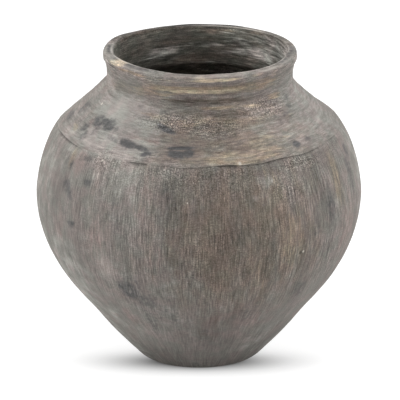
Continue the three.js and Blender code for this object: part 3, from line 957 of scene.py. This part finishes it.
def clay_material(name, pared):
    """Unglazed clay, smoked and dusted, with the tool marks of its section and painted light and shade.
    """
    material, tree, shader = new_material(name)
    here = tree.node("ShaderNodeTexCoord", out="Object")
    place = tree.vector("MULTIPLY", here, (1 / MM, 1 / MM, 1 / MM))
    wavering = tree.stirred(place, size=12, swing=2.6, seed=9)
    straight = tree.stirred(place, size=45, swing=3.0, seed=10)

    def painted(attribute):
        return tree.node("ShaderNodeAttribute", {"attribute_name": attribute}, out="Fac")

    def spots(table):
        for turn, level, size in table:
            if (level < seam_height) == pared:
                yield tree.spot(place, turn, level, float(outside_at(level)), size)

    # Noise with ragged and with more ragged edges.
    ragged = {"detail": 3.0, "roughness": 0.6}
    torn = {"detail": 3.0, "roughness": 0.65}
    if pared:
        marks_of, sizes = tree.upright_marks, PARED_MARKS
        breaks = tree.level_marks(place, pitch=1.4, reach=4.5, seed=25, detail=1.0)
        relief = pared_relief(tree, place)
    else:
        marks_of, sizes = tree.level_marks, WIPED_MARKS
        breaks = tree.level_marks(wavering, pitch=2.6, reach=34, seed=25, **torn)
        relief = wiped_relief(tree, place)
    patches = marks_of(wavering, *sizes["patches"], seed=11, **ragged)
    wash = marks_of(straight, *sizes["wash"], seed=12, **ragged)
    comb = marks_of(straight, *sizes["comb"], seed=13, detail=1.0)
    hatch = marks_of(straight, *sizes["hatch"], seed=14, detail=2.0)
    bands = marks_of(straight, *sizes["bands"], seed=28, detail=2.0)
    cloud = tree.mottle(place, size=16, seed=15, **ragged)
    stipple = tree.mottle(place, size=1.4, seed=21, detail=2.0, roughness=0.6)
    blotches = tree.level_marks(wavering, pitch=6, reach=15, seed=27, **torn)
    specks = painted("specks")
    soft = painted("soft")
    wash = wash * (1 - soft * 0.65) + cloud * soft * 0.5
    patches = patches * (1 - soft * 0.5) + cloud * soft * 0.4
    height = tree.axis(place, "Z")
    frayed = tree.smooth(height, *[seam_height - deep for deep in FRAY_DEPTHS]) * float(pared)

    # Coats of colour over the stone-coloured clay. Each shows where its dabs and the marks, in
    # the shares given, add up to more than a low level, and fully from a high one.
    ashen = wash * 0.15 + cloud * 0.4 if pared else wash * 0.1 + hatch * 0.3 + breaks * 0.25
    inside = painted("inside")
    colour = tree.blend(inside, STONE, SMOKED_INSIDE_AND_SHADE)
    layers = [
        # Earth, and on the front of the belly partly painted shade.
        (patches * 0.5 + painted("earth_and_shade"), -0.1, 1.3, EARTH_AND_SHADE),
        (wash * 0.45 + painted("blush"), 0.15, 1.3, BLUSH),
        # Ash, and on the flanks and inside the neck partly painted light.
        (ashen + painted("ash_and_light"), 0.2, 1.1, ASH_AND_LIGHT),
        (hatch * 0.2 + wash * 0.45 + painted("ochre"), 0.25, 1.3, OCHRE),
        # Cream, and partly painted highlight and light on the lip and the collar.
        (wash * 0.45 + hatch * 0.25 + painted("cream_and_highlight"), 0.3, 1.2, CREAM_AND_HIGHLIGHT),
        # Umber, and partly painted shade in the creases and the mouth.
        (wash * 0.45 + hatch * 0.1 + painted("umber_and_shade"), 0.2, 1.3, UMBER_AND_SHADE),
        (patches * 0.5 + wash * 0.3 + painted("umber_and_shade") * 0.5, 0.45, 1.4, UMBER_AND_SHADE),
    ]
    for share, low, high, coat in layers:
        colour = tree.blend(tree.smooth(share, low, high), colour, coat)
    # Painted shade: the inside darkens deeper into the mouth.
    mouth_shade = tree.smooth(height, *[neck_height - deep for deep in MOUTH_DEPTHS], 1.0, 0.0)
    colour = tree.blend(inside * mouth_shade * 0.7, colour, SMOKED_INSIDE_AND_SHADE)
    redder = tree.mottle(wavering, size=19, seed=26, detail=3.0, roughness=0.55) + bands * 0.2
    if pared:
        redder = redder - painted("ash_and_light") * 0.5
    tint = tree.blend(tree.smooth(redder, -0.55, 0.55), MOSSY, ROSY)
    colour = tree.vector("MULTIPLY", colour, tint)
    # Soot smudges, among them a painted shadow under the seam.
    sooty = tree.mottle(wavering, size=5, seed=16, detail=3.0, roughness=0.7) * 0.4
    smudge = painted("smoke_and_shade") + sooty + wash * 0.25 + stipple * 0.1
    colour = tree.blend(tree.smooth(smudge, 0.2, 1.3, 0.0, 0.92), colour, SMOKE_AND_SHADE)
    stray = tree.mottle(wavering, size=12, seed=17, **torn)
    colour = tree.blend(tree.smooth(stray, 0.4, 1.3, 0.0, 0.4), colour, SMOKE_AND_SHADE)

    # Tool marks: darker in the cuts and paler on the ridges, partly as painted shade and light and
    # partly as dust, and the mesh's relief painted lighter where it stands out. They add up in the
    # shares given, and the clay's lightness is the exponential of the sum.
    coarse = tree.mottle(place, size=34, seed=20, detail=1.0) * 0.2 + specks * 0.7 + 0.75
    calm = (coarse - painted("ash_and_light") * (1 - inside) * 0.35) * (1 - soft * 0.6)
    scored = tree.smooth(hatch, 0.2, 1.1)
    cut, rough = PARED_GRAIN if pared else WIPED_GRAIN
    strokes = (comb - (scored - 0.2) * 1.05) * (1 - frayed * 0.4) * cut
    stippled = stipple * (specks * 0.45 + frayed * 0.25 + rough)
    grain = strokes * (1 - specks * 0.35) + stippled + breaks * 0.15
    streaks = wash * 0.34 + hatch * 0.2 + breaks * inside * 0.25
    curled = tree.mottle(wavering, size=4.5, seed=29, detail=3.0, roughness=0.7)
    curls = curled * (frayed * 0.12 + 0.05)
    broad = patches * 0.1 + cloud * 0.08 + bands * 0.1 + blotches * inside * 0.42 + curls
    marks = grain * calm + streaks * (inside * 0.7 + 0.2) + broad + relief * (0.4 - inside * 0.25)
    pores = tree.mottle(place, size=1.7, seed=18, detail=1.0)
    value = tree.math("EXPONENT", marks) * tree.smooth(pores, 0.8, 1.5, 1.0, 0.65)
    # Painted shadow in the seam between body and shoulder, where it stands open.
    opened = painted("seam_groove") * seam_opening(tree, place)
    value = value * tree.smooth(opened, 0.05, 0.8, 1.0, 0.42)
    # Painted shade in the pits.
    for pit in spots(PITS):
        value = value * (1 - pit * 0.5)
    # The pale and dark dabs lighten and darken the clay, partly as painted light and shade.
    value = value * (painted("pale") * 0.3 - painted("dark") * 0.6 + 1.0)
    # Painted shade: the clay darkens towards the foot.
    colour = tree.shade(colour, value * tree.smooth(height, 0.0, 90.0, 0.72, 1.03))
    dust = tree.mottle(place, size=1.4, seed=19, detail=1.0) + specks * 0.55 - inside * 0.5
    colour = tree.blend(tree.smooth(dust, 1.15, 1.6, 0.0, 0.8), colour, LIME)
    # Pale grits, and a painted highlight on a pit's rim.
    for fleck in spots(GRITS_AND_HIGHLIGHT):
        colour = tree.blend(fleck * 0.85, colour, LIME)
    # Edges worn pale, partly as painted highlight.
    rubbed_and_highlit = painted("worn_and_highlit") * tree.smooth(wash + hatch * 0.5 + specks, -0.7, 0.9)
    colour = tree.blend(rubbed_and_highlit * (1 - painted("umber_and_shade")) * 0.85, colour, LIME)

    # Fine relief that the mesh is too coarse to hold, in millimetres.
    sand = tree.mottle(place, size=0.9, seed=23, detail=2.0) * 0.05
    pits = tree.smooth(pores, 0.8, 1.5, 0.0, -0.3)
    tooled = comb * 0.1 - scored * 0.1 + stipple * 0.06
    sockets = {"Strength": 1.0, "Distance": MM, "Height": tooled + sand + pits}
    normal = tree.node("ShaderNodeBump", None, sockets)
    tree.feed(shader, "Base Color", colour)
    tree.feed(shader, "Normal", normal)
    tree.feed(shader, "Roughness", tree.smooth(cloud, -1.0, 1.0, 0.82, 0.97))
    shader.inputs["Specular IOR Level"].default_value = 0.3
    shader.inputs["Diffuse Roughness"].default_value = 0.7
    return material


# The studio, in metres but for the lens: a pale floor that keeps the pot's shadow, soft light
# and the camera.
FLOOR_SIZE = 14.0
FLOOR_DROP = 0.0003
FLOOR_PALENESS = 0.8
FLOOR_PALENESS_SEEN = 0.35
FLOOR_GLOW = 0.863
SHADE_POOL = (0.093, 0.0283, 1)
SHADE_MIDDLE = (-0.0035, -0.0484, 0)
SHADE_DEPTH = 1.06
CAMERA_PLACE = (0.0013, -3.7, 1.458)
CAMERA_DIP = 19.0
CAMERA_LENS = 299.7
CAMERA_REACH = 50.0
SENSOR = 36.0
WORLD_LIGHT = 0.45
SOFTBOX_SIZE = 1.6
SOFTBOX_AIM = (0, 0, 0.2)

# The place and the power of each softbox.
SOFTBOXES = {
    "left_softbox": ((-2.4, -0.2, 0.95), 32),
    "right_softbox": ((2.5, -0.1, 0.95), 28),
    "top_softbox": ((0, -0.9, 2.6), 26),
    "back_softbox": ((0.5, 2.6, 1.2), 10),
}


def camera():
    data = bpy.data.cameras.new("camera")
    data.lens = CAMERA_LENS
    data.sensor_width = SENSOR
    data.clip_end = CAMERA_REACH
    eye = put_in_scene("camera", data)
    eye.location = CAMERA_PLACE
    eye.rotation_euler = (math.radians(90 - CAMERA_DIP), 0, 0)
    bpy.context.scene.camera = eye


def softbox(name, place, power):
    """A square lamp that faces the pot."""
    data = bpy.data.lights.new(name, "AREA")
    data.shape = "SQUARE"
    data.size = SOFTBOX_SIZE
    data.energy = power
    lamp = put_in_scene(name, data)
    lamp.location = place
    away = Vector(place) - Vector(SOFTBOX_AIM)
    lamp.rotation_euler = away.to_track_quat("Z", "Y").to_euler()


def world():
    """Even white light, and a white background to the camera."""
    surroundings = bpy.data.worlds.new("studio")
    surroundings.use_nodes = True
    bpy.context.scene.world = surroundings
    tree = Tree(surroundings.node_tree)
    background = surroundings.node_tree.nodes["Background"]
    level = seen_directly(tree) * (1.0 - WORLD_LIGHT) + WORLD_LIGHT
    tree.feed(background, "Strength", level)
    background.inputs["Color"].default_value = (1, 1, 1, 1)


def seen_directly(tree):
    """1 for what the camera sees, also in a gloss or through glass."""
    rays = [
        tree.node("ShaderNodeLightPath", out=name)
        for name in ("Is Camera Ray", "Is Glossy Ray", "Is Transmission Ray")
    ]
    return tree.math("MINIMUM", rays[0] + rays[1] + rays[2], 1.0)


def floor():
    """A pale floor. To the camera it glows, and less so in the soft pool of shade at the foot."""
    half = FLOOR_SIZE / 2
    mesh = bpy.data.meshes.new("floor")
    corners = [(-half, -half), (half, -half), (half, half), (-half, half)]
    mesh.from_pydata([(x, y, -FLOOR_DROP) for x, y in corners], [], [(0, 1, 2, 3)])
    ground = put_in_scene("floor", mesh)
    material, tree, shader = new_material("floor")
    here = tree.node("ShaderNodeTexCoord", out="Object")
    in_pool = tree.vector("DIVIDE", tree.vector("SUBTRACT", here, SHADE_MIDDLE), SHADE_POOL)
    off_middle = tree.vector("DOT_PRODUCT", in_pool, in_pool, out="Value")
    shade = tree.math("EXPONENT", off_middle * -1.0) * SHADE_DEPTH
    seen = seen_directly(tree)
    glow = seen * tree.math("MAXIMUM", FLOOR_GLOW - shade, 0.0)
    paleness = FLOOR_PALENESS - seen * (FLOOR_PALENESS - FLOOR_PALENESS_SEEN)
    tree.feed(shader, "Base Color", tree.xyz(paleness, paleness, paleness))
    tree.feed(shader, "Emission Color", tree.xyz(glow, glow, glow))
    shader.inputs["Emission Strength"].default_value = 1.0
    shader.inputs["Roughness"].default_value = 1.0
    shader.inputs["Specular IOR Level"].default_value = 0.0
    mesh.materials.append(material)
    ground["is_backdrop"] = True


bpy.context.scene.view_settings.view_transform = "Standard"
camera()
group = turning_tree()
pared_clay = clay_material("pared_clay", pared=True)
wiped_clay = clay_material("wiped_clay", pared=False)

# Each section's node, slot and profile, whether the profile closes, and whether it was pared.
SECTIONS = [
    ("base_slab", "slab_clay", slab_profile(), False, True),
    ("body_wall", "body_clay", body_profile(), True, True),
    ("shoulder", "shoulder_clay", shoulder_profile(), True, False),
    ("collar", "collar_clay", collar_profile(), True, False),
    ("rim_coil", "lip_clay", lip_profile(), True, False),
]
for node, slot, points, closed, pared in SECTIONS:
    clay = pared_clay if pared else wiped_clay
    paint(turned_section(node, slot, points, closed, pared, group, clay).data)

floor()
world()
for name, (place, power) in SOFTBOXES.items():
    softbox(name, place, power)

boxes = {"cad": cad_box, "visual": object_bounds()}
{name: [list(corner) for corner in box] for name, box in boxes.items()}
